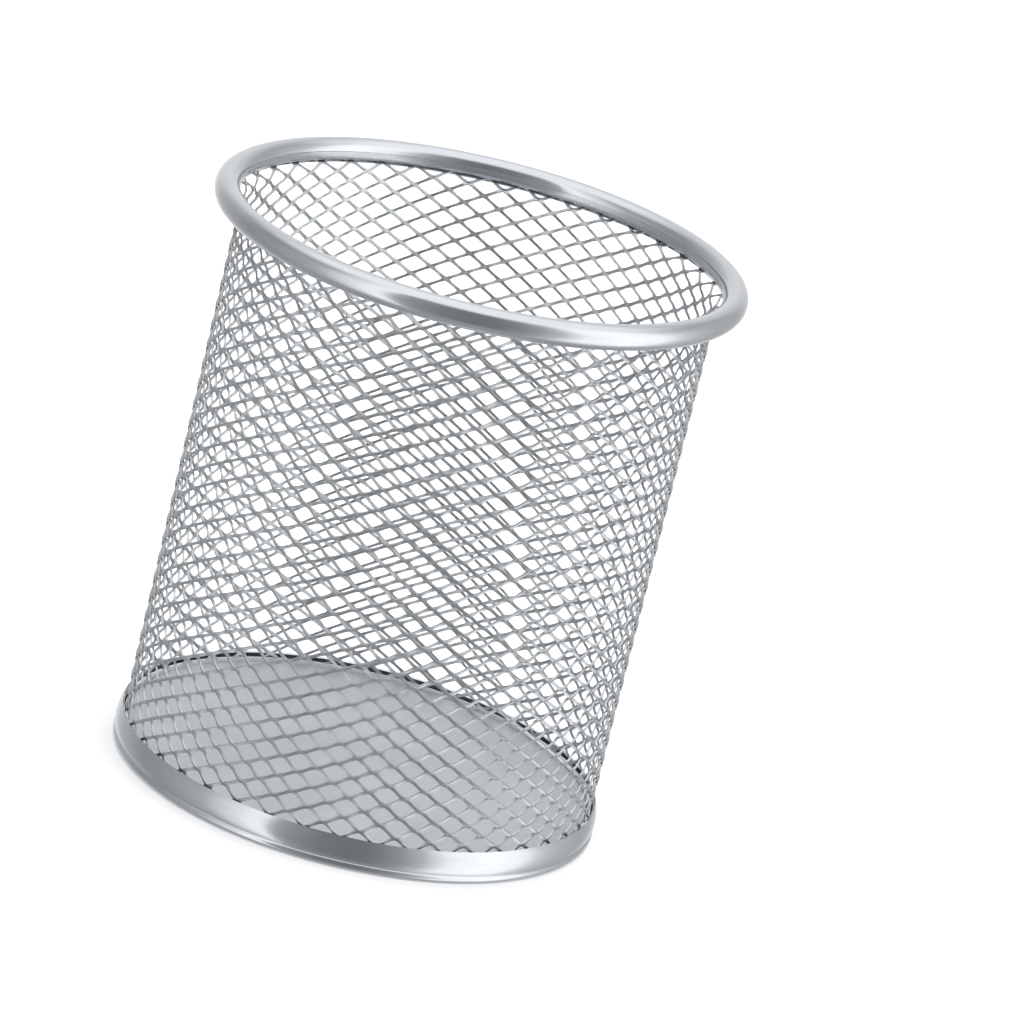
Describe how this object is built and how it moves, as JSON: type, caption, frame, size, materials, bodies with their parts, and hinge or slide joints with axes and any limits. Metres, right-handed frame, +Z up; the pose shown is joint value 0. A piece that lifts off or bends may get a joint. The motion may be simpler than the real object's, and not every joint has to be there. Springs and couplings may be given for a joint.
{
  "type": "pen holder cup",
  "caption": "Round desk cup for pens: a see-through sleeve of silver expanded steel mesh with a rolled tube rim, a rolled foot band and a flat pressed base disc.",
  "frame": {"origin": "middle of the underside, on the surface that the cup stands on", "axes": "+Z up along the cup's axis; X and Y lie in the underside, with +X through the middle of a column of diamonds"},
  "size_m": [0.09, 0.09, 0.0995],
  "materials": {
    "mesh_finish": "satin silver lacquer on expanded steel",
    "rim_finish": "smooth satin silver lacquer on rolled steel strip",
    "base_finish": "matt silver lacquer on pressed steel sheet"
  },
  "bodies": {
    "root": {"mesh_wall": "mesh_finish", "top_rim": "rim_finish", "base_band": "rim_finish", "base_disc": "base_finish"}
  },
  "joints": []
}
